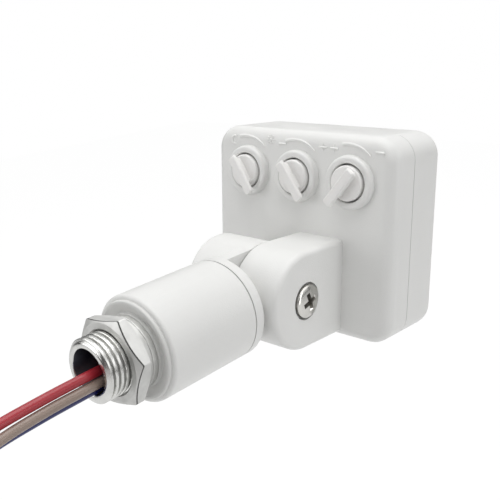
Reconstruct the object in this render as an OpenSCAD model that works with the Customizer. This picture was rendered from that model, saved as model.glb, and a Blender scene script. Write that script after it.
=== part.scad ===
// Motion sensor switch: a tilting and swivelling sensor head on a threaded stud.
// Millimetres. Y runs along the barrel, from the stud's tip towards the head. Z is up.
// The origin is on the stud's axis, in the middle of the thread that stands clear of the nut.

/* [Barrel] */
// Outside diameter of the barrel and of the knuckle's collar
barrel_d = 28; // [26:0.5:31]
// Draft of the barrel: how much smaller its near end is in diameter
barrel_draft = 0.2; // [0:0.1:1.2]
// Length of the barrel, from its near end to the swivel seam
barrel_len = 28.7; // [26:0.1:40]
// Wall of the barrel
barrel_wall = 3; // [2:0.2:3.6]
// Rounding of the barrel's near edge
barrel_round = 0.9; // [0.5:0.1:2]
// Thickness of the web inside the barrel that carries the swivel
web_t = 3; // [2:0.5:5]
// Distance from the swivel seam to the web
web_depth = 9; // [8:0.5:10]

/* [Threaded stud] */
// Outside diameter of the stud's thread
thread_d = 16; // [15:0.25:17]
// Bore of the stud, which the leads come out of
stud_bore_d = 11.4; // [10:0.1:12]
// Stretch of the stud that stands clear of the nut
stud_free = 5.8; // [4:0.2:12]
// Chamfer at the stud's tip
stud_chamfer = 1.3; // [0.4:0.1:1.5]
// Diameter of the round flange at the stud's inner end
stud_flange_d = 20; // [18.5:0.5:21]

/* [Nut and seals] */
// Size of the hexagon nut across its flats
nut_af = 20.5; // [19:0.5:23]
// Height of the nut's hexagon
nut_h = 4.1; // [2.5:0.1:6]
// Height of the nut's round bearing collar
nut_collar_h = 1.7; // [1:0.1:3]
// How far the nut is turned from a corner pointing to +X, in degrees
nut_turn = 10; // [0:1:59]
// Height of the washer behind the nut
washer_h = 1.6; // [1:0.1:3]
// Diameter of the washer behind the nut
washer_d = 18.8; // [17.5:0.1:20]
// Diameter of the gasket on the barrel's end
gasket_d = 25.4; // [23:0.1:26]
// Height of the gasket that stands out of the barrel's end
gasket_h = 1; // [0.7:0.1:2]
// Thickness of the plug that carries the stud in the barrel's end
plug_t = 5; // [3:0.5:6]

/* [Knuckle] */
// Width of the collar between the swivel seam and the ear
collar_w = 3.2; // [2.5:0.1:5]
// Open seam between the barrel and the collar
seam_gap = 0.35; // [0.2:0.05:0.6]
// Distance from the collar to the tilt axis
hinge_reach = 15; // [15:0.25:18]
// Radius of the two ears of the knuckle
ear_r = 14; // [12:0.25:14.4]
// Distance from the middle to the outer face of each ear
ear_w = 16.4; // [15:0.2:18]
// Rounding of the ears' outer edges
ear_round = 1.5; // [0.5:0.1:2.5]
// Distance from the tilt axis to the head's rear face
head_reach = 16.8; // [16.4:0.2:20]
// Tilt of the head as it stands, in degrees
rest_tilt = -4.5; // [-20:0.5:20]
// Bevel of the ears' edges where they meet
ear_bevel = 0.15; // [0.05:0.05:1]
// Place of the ears' joint plane, measured from the middle towards the pivot screw's head
lap_x = 1.1; // [0:0.1:3]
// Diameter of the pivot screw
pivot_d = 4; // [3:0.5:5]
// Diameter of the pivot screw's head
pivot_head_d = 9.6; // [8:0.1:11]
// Height of the pivot screw's domed head over the ear
pivot_head_proud = 1.3; // [0.3:0.1:1.6]
// Diameter of the washer between the ears
friction_d = 18; // [12:1:22]
// Thickness of the washer between the ears
friction_t = 1; // [0.6:0.1:1.6]

/* [Head] */
// Width of the head
head_w = 64.6; // [62:0.2:75]
// Height of the head
head_h = 59.4; // [57:0.2:70]
// How far the head reaches below the tilt axis
head_drop = 15.7; // [15:0.1:18]
// Depth of the head, without the lens
head_d = 26.9; // [25:0.1:34]
// Depth of the rear housing, from its rear face to the seam
rear_d = 10.5; // [9:0.1:12]
// Corner radius of the head, seen from behind
corner_r = 7.2; // [5:0.1:10]
// Rounding of the rear edge
rear_round = 3.7; // [2:0.1:4.6]
// Rounding of the front edge
front_round = 4; // [2:0.1:4.6]
// Wall of both housings
wall = 2; // [1.6:0.1:2.6]
// Depth of the tongue that enters the front housing
tongue_h = 2.4; // [1.5:0.1:4]

/* [Knobs] */
// Distance between the knobs
knob_pitch = 18.5; // [17:0.1:20]
// Height of the knobs above the tilt axis
knob_rise = 30.7; // [27:0.1:34]
// Diameter of the raised ring round each knob, at its base
bezel_d = 15.4; // [14:0.1:16.5]
// Height of the raised ring
bezel_h = 2; // [1.2:0.1:3]
// Diameter of the well that each knob turns in
well_d = 11; // [10:0.1:12]
// Open gap round a knob
knob_gap = 0.5; // [0.2:0.05:0.7]
// Height of a knob's disc over the raised ring
disc_proud = 0.85; // [0.3:0.05:1.5]
// Height of a knob's finger bar over the raised ring
bar_h = 3.6; // [2.6:0.05:5]
// Thickness of the bar
bar_t = 1.2; // [0.8:0.1:2]
// Reach of the bar's pointing end from the knob's axis
bar_point = 5.3; // [4.5:0.1:7]
// Reach of the bar's tail from the knob's axis
bar_tail = 7.6; // [5:0.1:8]
// Width of the bar
bar_w = 3; // [2.2:0.1:3.5]
// Width of the web that carries the bar
web_w = 1.6; // [1.4:0.1:3]
// Diameter of a knob's stem
stem_d = 4; // [3:0.1:5]

/* [Lens] */
// Width of the lens where it stands out of the front
lens_w = 46; // [40:0.5:50]
// Height of the lens
lens_h = 34; // [30:0.5:42]
// Corner radius of the lens
lens_corner = 7; // [4:0.5:10]
// How far the middle of the lens stands out of the front face
lens_bulge = 7; // [5:0.5:9]
// Radius of the lens's dome
lens_dome_r = 76; // [66:1:100]
// Wall of the lens
lens_t = 0.9; // [0.6:0.1:1.4]

/* [Electronics] */
// Width of the circuit board
board_w = 54; // [50:1:56]
// Height of the circuit board
board_h = 48; // [46:1:50]
// Thickness of the circuit board
board_t = 1.6; // [1:0.2:2]
// Radius of the sensor's metal can
can_r = 4.6; // [4:0.1:5]
// Width of the relay
relay_w = 19; // [15:0.5:19]
// Height of the relay over the board
relay_d = 8; // [6:0.5:8]
// Height of the relay, seen from behind
relay_h = 15; // [12:0.5:15]
// Width of the film capacitor
film_w = 17.5; // [12:0.5:18]
// Height of the film capacitor over the board
film_d = 6; // [5:0.5:7]
// Height of the film capacitor, seen from the front
film_h = 8; // [5:0.5:8]
// Diameter of the round capacitor
round_d = 6.3; // [5:0.1:7]
// Length of the round capacitor
round_len = 11; // [9:0.5:12]

/* [Leads] */
// Outside diameter of a lead
lead_d = 2.4; // [2:0.1:2.6]
// Length of the bare end of a lead
bare_len = 8; // [5:1:12]

/* [Hidden] */
$fn = 64;

// Play of a part that turns in another, on the radius
play = 0.05;
// Gap between parts that only sit side by side
seat = 0.02;
// Overlap of cuts with the faces that they open
cut = 0.5;

// Places along the barrel, from the tip of the stud to the tilt axis
tip_y = -stud_free / 2;
nut_y = stud_free / 2;
washer_y = nut_y + nut_h + nut_collar_h;
gasket_y = washer_y + washer_h;
end_y = gasket_y + gasket_h;
seam_y = end_y + barrel_len;
collar_y = seam_y + seam_gap;
ear_y = collar_y + collar_w;
hinge_y = ear_y + hinge_reach;

// Barrel
barrel_r = barrel_d / 2;
barrel_bore_r = barrel_r - barrel_wall;
gasket_sink = 0.6;
gasket_round = 0.5;
plug_y = end_y + gasket_sink;
flange_y = plug_y + plug_t;
flange_t = 2;
stud_tail = 3;
stud_end_y = flange_y + flange_t + stud_tail;
stud_r = thread_d / 2;
pitch_r = stud_r - 0.49;
stud_neck_r = pitch_r - seat;
grommet_y = plug_y + 1.9;
web_y = seam_y - web_depth - web_t;

// Swivel: the cap's spigot turns in the web and its boss in the barrel's mouth
spigot_r = 7.95;
spigot_bore_r = 5.6;
boss_r = barrel_bore_r - play;
boss_len = 4.4;
seal_d = 1.5;
clip_t = 1;
seal_y = collar_y - boss_len / 2;
clip_groove_r = 7;
clip_r = 9.4;
clip_mouth = 9;
swivel_washer_t = 1;
spigot_tail = 1.4;
clip_y = web_y - swivel_washer_t - clip_t - 0.1;
spigot_y = clip_y - spigot_tail;

// Tilt pivot
ear_gap = 0.2;
neck_r = barrel_r - 0.6;
pivot_r = pivot_d / 2;
pivot_head_r = pivot_head_d / 2;
pivot_head_h = 2.6;
pivot_sink_r = pivot_head_r + 0.55;
pivot_nut_af = 7;
pivot_nut_h = 3.2;
pivot_nut_x = -ear_w + 1.6;
friction_r = friction_d / 2;

// Head, in its own frame: the tilt axis is the origin
rear_y = head_reach;
seam_head_y = rear_y + rear_d;
front_y = rear_y + head_d;
head_bottom = -head_drop;
head_top = head_h - head_drop;
head_mid = (head_top + head_bottom) / 2;
parting = 0.15;
parting_bevel = 0.35;
tongue_t = wall / 2 - 0.1;
tongue_play = 0.1;
housing_seal_t = 0.8;
inner_y = rear_y + wall;
board_y = seam_head_y + 0.7;
board_boss_r = 2.8;
board_screw_r = 1.1;
board_head_r = 2.2;
board_head_h = 1.4;
board_screw_len = 5;
board_inset = 3.5;
screw_drop = 10.2;
post_r = 2.2;
post_gap = board_head_r + post_r + 1.5;
rib_x = [-14, 3, ear_w - 2];
rib_w = 1.4;
rib_h = 1;
screw_x = board_w / 2 - board_inset;
screw_z = [head_mid - board_h / 2 + board_inset, knob_rise - screw_drop];

// Knobs, measured from the rear face of the head
bezel_y = rear_y - bezel_h;
bezel_lip = 0.15;
bezel_round = 0.9;
bezel_edge = 0.3;
well_r = well_d / 2;
disc_r = well_r - knob_gap;
disc_top_y = bezel_y - disc_proud;
disc_t = disc_proud + 2.85;
disc_round = 0.6;
floor_y = disc_top_y + disc_t + 1.1;
floor_t = 1.8;
stem_r = stem_d / 2;
stem_tail_r = 1.5;
trimmer_h = 5;
trimmer_w = 9.4;
trimmer_y = board_y - trimmer_h;
relay_z = screw_z[0] - 1.6;
knob_turns = [-35, -37, 38];

// Lens
lens_y = front_y + lens_bulge;
lens_flange = 2;
lens_flange_t = 1.2;
lens_seat_y = front_y - wall;
lens_z = head_mid;
part_z = lens_z - lens_h / 2 + 1;

// Routes of the leads: a straight run through the stud, then a slack fall. The last points are the bare ends.
red_route = [[1.6, 13.8, 0.2], [1.6, 4, 0.2], [1.6, -8, 0], [1.6, -18, -0.4], [1.5, -28, -1.2],
             [1.3, -38, -2.8], [1, -48, -5.4], [0.6, -58, -9.2], [0.2, -67, -13.8], [-0.2, -75, -19.2],
             [-0.5, -82, -25.2], [-0.7, -88, -31.6]];
brown_route = [[2.6, 13.8, -2.1], [2.6, 4, -2.1], [2.6, -8, -2.3], [2.7, -18, -2.7], [3.0, -28, -3.6],
               [3.6, -38, -5.5], [4.6, -48, -8.5], [5.7, -57, -12.5], [6.8, -65, -17.4], [7.9, -72, -23.1],
               [8.8, -78, -29.4], [9.5, -83, -36]];
blue_route = [[0.9, 13.8, -4.15], [0.9, 4, -4.15], [0.9, -8, -4.35], [0.8, -18, -4.8], [0.5, -28, -5.8],
              [-0.2, -38, -7.9], [-1.3, -47, -11.2], [-2.7, -56, -15.6], [-4.2, -64, -21], [-5.6, -71, -27.1],
              [-6.8, -77, -33.7], [-7.7, -82, -40.6]];
lead_sides = 8;
bare_r = 0.65;

// A solid turned about the Y axis, from a profile of radius and place along Y
module turned_y() {
    rotate([-90, 0, 0]) rotate_extrude() children();
}

// A solid turned about the X axis, from a profile of radius and place along X
module turned_x() {
    rotate([0, 90, 0]) rotate_extrude() children();
}

// A flat outline in X and Z, made a plate that runs from y0 to y1
module plate(y0, y1) {
    translate([0, y1, 0]) rotate([90, 0, 0]) linear_extrude(y1 - y0) children();
}

// A ring about the Y axis
module ring_y(r_in, r_out, y0, y1) {
    turned_y() translate([r_in, y0]) square([r_out - r_in, y1 - y0]);
}

// A ring about the X axis
module ring_x(r_in, r_out, x0, x1) {
    turned_x() translate([r_in, x0]) square([r_out - r_in, x1 - x0]);
}

// A rectangle with its outer end rounded off, as the profile of a round-edged disc
module round_shoulder(w, h, r) {
    square([w - r, h]);
    square([w, h - r]);
    intersection() {
        translate([w - r, h - r]) square(r);
        translate([w - r, h - r]) circle(r);
    }
}

// The section of an ear of width w: a round outer edge and a small bevel on the edge beside the other ear
module ear_section(w) {
    intersection() {
        round_shoulder(ear_r, w, ear_round);
        polygon([[0, 0], [ear_r - ear_bevel, 0], [ear_r, ear_bevel], [ear_r, w], [0, w]]);
    }
}

// A rectangle with four round corners
module round_rect(w, h, r) {
    square([w - 2 * r, h], center = true);
    square([w, h - 2 * r], center = true);
    for (x = [-1, 1], z = [-1, 1]) translate([x * (w / 2 - r), z * (h / 2 - r)]) circle(r);
}

// The head's outline, made smaller all round by an inset
module head_outline(inset = 0) {
    translate([0, head_mid])
        round_rect(head_w - 2 * inset, head_h - 2 * inset, corner_r - inset);
}

// A block of the head's outline whose far edge is rounded, from its open side at 0 to its face at depth
module pillow(depth, r) {
    flat_x = head_w / 2 - corner_r;
    flat_z = head_h / 2 - corner_r;
    linear_extrude(depth) square([2 * flat_x, 2 * flat_z], center = true);
    for (side = [0, 180]) rotate([0, 0, side]) {
        translate([flat_x, flat_z, 0]) rotate([90, 0, 0])
            linear_extrude(2 * flat_z) round_shoulder(corner_r, depth, r);
        rotate([0, 0, 90]) translate([flat_z, flat_x, 0]) rotate([90, 0, 0])
            linear_extrude(2 * flat_x) round_shoulder(corner_r, depth, r);
    }
    for (q = [0:3]) translate([[1, -1, -1, 1][q] * flat_x, [1, 1, -1, -1][q] * flat_z, 0])
        rotate([0, 0, 90 * q]) rotate_extrude(angle = 90) round_shoulder(corner_r, depth, r);
}

// A hexagon about the Y axis whose corners are cut back to a cone on both faces, as on a turned nut
module chamfered_hex(af, y0, y1, turn) {
    corner = af / sqrt(3);
    flat_r = 0.97 * af / 2;
    drop = (corner - flat_r) * tan(26);
    intersection() {
        translate([0, y0, 0]) rotate([-90, 0, 0]) rotate([0, 0, -turn])
            cylinder(r = corner, h = y1 - y0, $fn = 6);
        turned_y() polygon([[0, y0], [flat_r, y0], [corner + 0.01, y0 + drop],
                            [corner + 0.01, y1 - drop], [flat_r, y1], [0, y1]]);
    }
}

// The head's own frame, set at the tilt axis and tilted as the head stands
module in_head() {
    translate([0, hinge_y, 0]) rotate([rest_tilt, 0, 0]) children();
}

// The head's ear: a half disc about the tilt axis and a block that joins it to the head at reach
module head_ear(reach) {
    w = ear_w - lap_x;
    translate([lap_x + ear_gap / 2, 0, 0]) {
        rotate([0, 90, 0]) rotate([0, 0, 180]) rotate_extrude(angle = 180) ear_section(w);
        translate([0, reach, 0]) rotate([90, 0, 0]) linear_extrude(reach) {
            for (z = [0, 1]) mirror([0, z]) rotate(90) mirror([0, 1]) ear_section(w);
        }
    }
}

// The cap's ear: a round-edged disc about the tilt axis, on a round neck that is cut off at the joint plane
module cap_ear() {
    face_x = lap_x - ear_gap / 2;
    translate([face_x, hinge_y, 0]) mirror([1, 0, 0]) turned_x() ear_section(ear_w + lap_x);
    intersection() {
        ring_y(0, neck_r, ear_y - cut, hinge_y);
        translate([-ear_w, ear_y - 2 * cut, -barrel_r]) cube([ear_w + face_x, hinge_reach + 2, 2 * barrel_r]);
    }
}

// The places of the three knobs on the rear face
function knob_place(i) = [(i - 1) * knob_pitch, 0, knob_rise];

// The hexagon of the pivot screw's nut, along X, made larger all round by an extra radius
module pivot_hexagon(len, extra) {
    rotate([0, 90, 0]) cylinder(r = pivot_nut_af / sqrt(3) + extra, h = len, $fn = 6);
}

// Cuts the open slot of a spring clip
module clip_slot() {
    translate([-clip_mouth / 2, clip_y - cut, 0]) cube([clip_mouth, clip_t + 2 * cut, 2 * clip_r]);
}

// Points of a ring round a route's point i, square to the route
function route_dir(p, i) = let (d = p[min(i + 1, len(p) - 1)] - p[max(i - 1, 0)]) d / norm(d);
function route_ring(p, i, r) =
    let (d = route_dir(p, i), side = cross(d, [0, 0, 1]), s = side / norm(side), u = cross(s, d))
    [for (k = [0:lead_sides - 1]) p[i] + r * (cos(360 * k / lead_sides) * s + sin(360 * k / lead_sides) * u)];

// A tube swept along a route, closed at both ends
module swept(p, r) {
    n = len(p);
    points = [for (i = [0:n - 1]) each route_ring(p, i, r)];
    sides = [for (i = [0:n - 2], k = [0:lead_sides - 1])
        let (a = i * lead_sides, b = (k + 1) % lead_sides)
        [a + k, a + b, a + b + lead_sides, a + k + lead_sides]];
    ends = [[for (k = [lead_sides - 1:-1:0]) k], [for (k = [0:lead_sides - 1]) (n - 1) * lead_sides + k]];
    polyhedron(points, concat(sides, ends), convexity = 4);
}

// The direction of a route's last stretch
function end_dir(p) = let (d = p[len(p) - 1] - p[len(p) - 2]) d / norm(d);

// Barrel body

module barrel() {
    near_r = barrel_r - barrel_draft / 2;
    color("white") difference() {
        turned_y() {
            polygon([[0, end_y], [near_r - barrel_round, end_y], [near_r, end_y + barrel_round],
                     [barrel_r, seam_y], [0, seam_y]]);
            translate([near_r - barrel_round, end_y + barrel_round]) circle(barrel_round);
        }
        ring_y(0, barrel_bore_r, web_y + web_t, seam_y + cut);
        ring_y(0, spigot_r + play, web_y - cut, web_y + web_t + cut);
        ring_y(0, barrel_bore_r, end_y - cut, web_y);
    }
}

module end_plug() {
    color("whitesmoke") ring_y(pitch_r, barrel_bore_r - seat, plug_y, plug_y + plug_t);
}

module threaded_stud() {
    color("silver") difference() {
        union() {
            turned_y() polygon([[0, tip_y], [stud_r - stud_chamfer, tip_y], [stud_r, tip_y + stud_chamfer],
                                [stud_r, nut_y], [stud_neck_r, nut_y], [stud_neck_r, stud_end_y],
                                [0, stud_end_y]]);
            ring_y(0, stud_flange_d / 2, flange_y, flange_y + flange_t);
        }
        ring_y(0, stud_bore_d / 2, tip_y - cut, stud_end_y + cut);
        turned_y() polygon([[0, tip_y - cut], [stud_bore_d / 2 + cut, tip_y - cut],
                            [stud_bore_d / 2, tip_y + 0.5], [0, tip_y + 0.5]]);
    }
}

module lock_nut() {
    color("lightgray") difference() {
        union() {
            chamfered_hex(nut_af, nut_y, nut_y + nut_h, nut_turn);
            ring_y(0, nut_af / 2 - 0.95, nut_y + nut_h - cut, washer_y);
        }
        ring_y(0, pitch_r, nut_y - cut, washer_y + cut);
        turned_y() polygon([[0, nut_y - cut], [stud_r + 0.45 + cut, nut_y - cut], [stud_r + 0.45, nut_y],
                            [pitch_r, nut_y + 0.9], [0, nut_y + 0.9]]);
    }
}

module plain_washer() {
    color("silver") ring_y(stud_r + 0.2, washer_d / 2, washer_y, gasket_y);
}

module end_gasket() {
    color("gainsboro") difference() {
        union() {
            translate([0, end_y, 0]) mirror([0, 1, 0]) turned_y()
                round_shoulder(gasket_d / 2, gasket_h, gasket_round);
            ring_y(0, barrel_bore_r - seat, end_y - 0.1, plug_y);
        }
        ring_y(0, stud_r + 0.2, gasket_y - cut, plug_y + cut);
    }
}

module lead_grommet() {
    color("dimgray") difference() {
        ring_y(0, stud_bore_d / 2 - seat, grommet_y, stud_end_y - 1);
        for (p = [red_route[0], brown_route[0], blue_route[0]])
            translate([p[0], 0, p[2]]) ring_y(0, lead_d / 2 - 0.2, grommet_y + 2, stud_end_y + cut);
    }
}

module lead_red() {
    color("firebrick") swept(red_route, lead_d / 2);
}

module lead_brown() {
    color("saddlebrown") swept(brown_route, lead_d / 2);
}

module lead_blue() {
    color("navy") swept(blue_route, lead_d / 2);
}

module bare_ends() {
    color("gold") for (p = [red_route, brown_route, blue_route])
        swept([p[len(p) - 1], p[len(p) - 1] + bare_len * end_dir(p)], bare_r);
}

// Knuckle body

module knuckle_cap() {
    color("white") difference() {
        union() {
            turned_y() translate([0, collar_y]) round_shoulder(barrel_r, collar_w, 0.6);
            ring_y(0, boss_r, collar_y - boss_len, collar_y + cut);
            ring_y(0, spigot_r, spigot_y, collar_y);
            cap_ear();
        }
        ring_y(0, spigot_bore_r, spigot_y - cut, collar_y + 1);
        ring_y(clip_groove_r, spigot_r + cut, clip_y - 0.1, clip_y + clip_t + 0.1);
        ring_y(boss_r - seal_d, boss_r + cut, seal_y - seal_d / 2 - 0.1, seal_y + seal_d / 2 + 0.1);
        translate([0, hinge_y, 0]) {
            ring_x(0, pivot_r + seat, -ear_w - 2, lap_x + 1);
            ring_x(0, friction_r + 0.1, lap_x - ear_gap / 2 - friction_t / 2, lap_x + 1);
            translate([-ear_w - 2, 0, 0]) pivot_hexagon(pivot_nut_x + pivot_nut_h + ear_w + 2, seat);
        }
    }
}

module swivel_seal() {
    color("dimgray") turned_y() translate([boss_r - seal_d / 2 + 0.02, seal_y]) circle(d = seal_d);
}

module swivel_washer() {
    color("silver") ring_y(spigot_r + play, barrel_bore_r - 0.4, web_y - swivel_washer_t, web_y);
}

module swivel_clip() {
    color("darkgray") difference() {
        ring_y(clip_groove_r + seat, clip_r, clip_y, clip_y + clip_t);
        clip_slot();
    }
}

module pivot_screw() {
    color("silver") translate([0, hinge_y, 0]) {
        ring_x(0, pivot_r, pivot_nut_x, ear_w - pivot_head_h + 0.2);
        turned_x() polygon([[0, ear_w - pivot_head_h], [pivot_r + 0.4, ear_w - pivot_head_h],
                            [pivot_head_r, ear_w - 0.4], [pivot_head_r, ear_w + 0.1],
                            [pivot_head_r - 0.7, ear_w + 0.5 * pivot_head_proud],
                            [pivot_head_r - 1.9, ear_w + 0.8 * pivot_head_proud],
                            [pivot_head_r - 3.4, ear_w + 0.96 * pivot_head_proud],
                            [0, ear_w + pivot_head_proud]]);
    }
}

module pivot_nut() {
    color("silver") translate([pivot_nut_x, hinge_y, 0]) difference() {
        pivot_hexagon(pivot_nut_h, 0);
        ring_x(0, pivot_r + seat, -1, pivot_nut_h + 1);
    }
}

module friction_washer() {
    color("dimgray") translate([0, hinge_y, 0])
        ring_x(pivot_r + 0.2, friction_r, lap_x - (ear_gap + friction_t) / 2 + seat,
               lap_x + (ear_gap + friction_t) / 2 - seat);
}

// Head body

module bezel() {
    top_r = bezel_d / 2 - bezel_lip;
    translate([0, rear_y, 0]) mirror([0, 1, 0]) turned_y() {
        polygon([[0, -cut], [bezel_d / 2, -cut], [bezel_d / 2, 0],
                 [top_r, bezel_h - bezel_round], [0, bezel_h - bezel_round]]);
        square([top_r - bezel_round, bezel_h]);
        translate([top_r - bezel_round, bezel_h - bezel_round]) circle(bezel_round);
    }
}

module rear_housing() {
    color("white") in_head() difference() {
        union() {
            difference() {
                translate([0, seam_head_y - parting, head_mid]) rotate([90, 0, 0])
                    pillow(rear_d - parting, rear_round);
                plate(inner_y, seam_head_y + cut) head_outline(wall);
            }
            plate(inner_y + 3, seam_head_y + tongue_h) difference() {
                head_outline(wall - tongue_t);
                head_outline(wall);
            }
            head_ear(rear_y + wall);
            for (x = rib_x) translate([x - rib_w / 2, inner_y - cut, head_bottom + wall])
                cube([rib_w, rib_h + cut, knob_rise - well_r - 2 - head_bottom - wall]);
            for (i = [0:2]) translate(knob_place(i)) {
                bezel();
                ring_y(0, well_r + 1.4, inner_y - cut, floor_y + floor_t);
            }
            for (x = [-1, 1], z = screw_z) translate([x * screw_x, 0, z])
                ring_y(0, board_boss_r, inner_y - cut, board_y - seat);
        }
        for (i = [0:2]) translate(knob_place(i)) {
            ring_y(0, well_r, bezel_y - cut, floor_y);
            turned_y() polygon([[0, bezel_y - cut], [well_r + bezel_edge + cut, bezel_y - cut],
                                [well_r, bezel_y + bezel_edge], [0, bezel_y + bezel_edge]]);
            ring_y(0, stem_r + play, floor_y - cut, floor_y + floor_t + cut);
        }
        for (x = [-1, 1], z = screw_z) translate([x * screw_x, 0, z])
            ring_y(0, board_screw_r + seat, board_y - board_screw_len - 1, board_y + cut);
        ring_x(0, pivot_r + play, -1, ear_w + 2);
        ring_x(0, friction_r + 0.1, lap_x - 1, lap_x + (ear_gap + friction_t) / 2);
        turned_x() polygon([[0, ear_w - pivot_head_h - 0.3], [pivot_r + 0.6, ear_w - pivot_head_h - 0.1],
                            [pivot_sink_r, ear_w - 0.5], [pivot_sink_r, ear_w + 2], [0, ear_w + 2]]);
    }
}

module front_housing() {
    color("white") in_head() difference() {
        translate([0, seam_head_y + parting, head_mid]) rotate([-90, 0, 0]) mirror([0, 1, 0])
            pillow(front_y - seam_head_y - parting, front_round);
        plate(seam_head_y - cut, lens_seat_y) head_outline(wall);
        plate(seam_head_y - cut, seam_head_y + tongue_h + housing_seal_t)
            head_outline(wall - tongue_t - tongue_play);
        translate([0, 0, lens_z]) plate(lens_seat_y - cut, front_y + cut)
            round_rect(lens_w + 0.2, lens_h + 0.2, lens_corner + 0.1);
    }
}

module housing_seal() {
    seal_low = seam_head_y + tongue_h;
    color("gray") in_head() plate(seal_low + seat, seal_low + housing_seal_t - seat)
        difference() {
            head_outline(wall - tongue_t - tongue_play / 2);
            head_outline(wall + 0.4);
        }
}

module lens() {
    dome_y = lens_y - lens_dome_r;
    color("ivory") in_head() translate([0, 0, lens_z]) {
        difference() {
            intersection() {
                plate(lens_seat_y - cut, lens_y + 1) round_rect(lens_w, lens_h, lens_corner);
                translate([0, dome_y, 0]) sphere(lens_dome_r, $fn = 96);
            }
            intersection() {
                plate(lens_seat_y - 2 * cut, lens_y + 1)
                    round_rect(lens_w - 2 * lens_t, lens_h - 2 * lens_t, lens_corner - lens_t);
                translate([0, dome_y, 0]) sphere(lens_dome_r - lens_t, $fn = 96);
            }
        }
        plate(lens_seat_y - lens_flange_t, lens_seat_y - seat) difference() {
            round_rect(lens_w + 2 * lens_flange, lens_h + 2 * lens_flange, lens_corner + lens_flange);
            round_rect(lens_w - 2 * lens_t, lens_h - 2 * lens_t, lens_corner - lens_t);
        }
    }
}

module lens_frame() {
    frame_t = 1.5;
    y1 = lens_seat_y - lens_flange_t - seat;
    color("dimgray") in_head() translate([0, 0, lens_z]) {
        plate(y1 - frame_t, y1) difference() {
            round_rect(head_w - 2 * wall - 1, lens_h + 2 * lens_flange + 4, lens_corner);
            round_rect(lens_w - 4, lens_h - 4, lens_corner - 2);
        }
        for (x = [-1, 1], z = [screw_z[0] + post_gap, screw_z[1] - post_gap])
            translate([x * screw_x, 0, z - lens_z])
            ring_y(0, post_r, board_y + board_t + seat, y1 - frame_t + 0.2);
    }
}

module circuit_board() {
    color("darkgreen") in_head() translate([0, 0, head_mid]) plate(board_y, board_y + board_t) difference() {
        round_rect(board_w, board_h, 2);
        for (x = [-1, 1], z = screw_z) translate([x * screw_x, z - head_mid]) circle(board_screw_r + 0.2);
    }
}

module board_screws() {
    color("silver") in_head() for (x = [-1, 1], z = screw_z)
        translate([x * screw_x, 0, z]) {
            ring_y(0, board_screw_r, board_y - board_screw_len, board_y + board_t + cut);
            ring_y(0, board_head_r, board_y + board_t, board_y + board_t + board_head_h);
        }
}

module sensor_can() {
    can_h = 4.4;
    window = 3.2;
    can_y = board_y + board_t;
    color("silver") in_head() translate([0, 0, lens_z]) {
        ring_y(0, can_r, can_y + 0.6, can_y + can_h);
        ring_y(0, can_r + 0.5, can_y + seat, can_y + 1);
        plate(can_y + can_h - 0.3, can_y + can_h + 0.3) square([window + 1, window], center = true);
    }
}

module relay() {
    color("royalblue") in_head() translate([1, board_y - seat - relay_d, relay_z])
        cube([relay_w, relay_d, relay_h]);
}

module film_capacitor() {
    color("gold") in_head() translate([-film_w - 3, board_y + board_t + seat, part_z])
        cube([film_w, film_d, film_h]);
}

module round_capacitor() {
    color("darkslategray") in_head()
        translate([5, board_y + board_t + seat + round_d / 2, part_z + round_d / 2])
        rotate([0, 90, 0]) cylinder(d = round_d, h = round_len);
}

module trimmers() {
    color("steelblue") in_head() for (i = [0:2]) translate(knob_place(i)) difference() {
        plate(trimmer_y, board_y - seat) square(trimmer_w, center = true);
        ring_y(0, stem_tail_r + play, trimmer_y - cut, board_y - 1);
    }
}

module knob_seals() {
    seal = 1.0;
    color("dimgray") in_head() for (i = [0:2]) translate(knob_place(i))
        turned_y() translate([stem_r + seal / 2 + seat, floor_y - seal / 2 - seat]) circle(d = seal);
}

// A slice of a finger bar: a flat of that width from its point to its tail, with round corners
module blunt(width, point, tail, y, t) {
    corner = 0.7;
    for (x = [-1, 1], z = [point - corner, -tail + corner])
        translate([x * (width / 2 - corner), y, z]) rotate([-90, 0, 0]) cylinder(r = corner, h = t, $fn = 24);
}

// A knob: a disc in its well, a finger bar held over it by a thin web, and a stem that turns the trimmer
module knob(i) {
    ridge_y = bezel_y - bar_h;
    disc_y = disc_top_y + disc_t;
    reach = disc_r - 0.7;
    in_head() translate(knob_place(i)) rotate([0, knob_turns[i], 0]) {
        turned_y() {
            translate([0, disc_y]) mirror([0, 1]) round_shoulder(disc_r, disc_t, disc_round);
            translate([0, disc_y - 0.1]) square([stem_r, floor_y + floor_t - disc_y]);
        }
        difference() {
            ring_y(0, stem_tail_r, floor_y, trimmer_y + 3);
            translate([0.9, trimmer_y - 0.5, -2]) cube([2, 5, 4]);
        }
        hull() {
            blunt(bar_w - 0.8, bar_point - 0.5, bar_tail - 0.2, ridge_y, 0.05);
            blunt(bar_w - 0.2, bar_point - 0.15, bar_tail, ridge_y + 0.35, 0.05);
            blunt(bar_w, bar_point, bar_tail, ridge_y + 0.7 * bar_t, 0.05);
            blunt(bar_w - 0.4, bar_point - 0.2, bar_tail - 0.2, ridge_y + bar_t - 0.05, 0.05);
        }
        hull() {
            blunt(web_w, reach, reach, ridge_y + bar_t - 0.3, 0.1);
            blunt(web_w + 0.8, reach, reach, disc_top_y + 0.2, 0.1);
        }
    }
}

module knob_light() {
    color("white") knob(0);
}

module knob_time() {
    color("white") knob(1);
}

module knob_range() {
    color("white") knob(2);
}

barrel();
end_plug();
threaded_stud();
lock_nut();
plain_washer();
end_gasket();
lead_grommet();
lead_red();
lead_brown();
lead_blue();
bare_ends();
knuckle_cap();
swivel_seal();
swivel_washer();
swivel_clip();
pivot_screw();
pivot_nut();
friction_washer();
rear_housing();
front_housing();
housing_seal();
lens();
lens_frame();
circuit_board();
board_screws();
sensor_can();
relay();
film_capacitor();
round_capacitor();
trimmers();
knob_seals();
knob_light();
knob_time();
knob_range();
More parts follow.
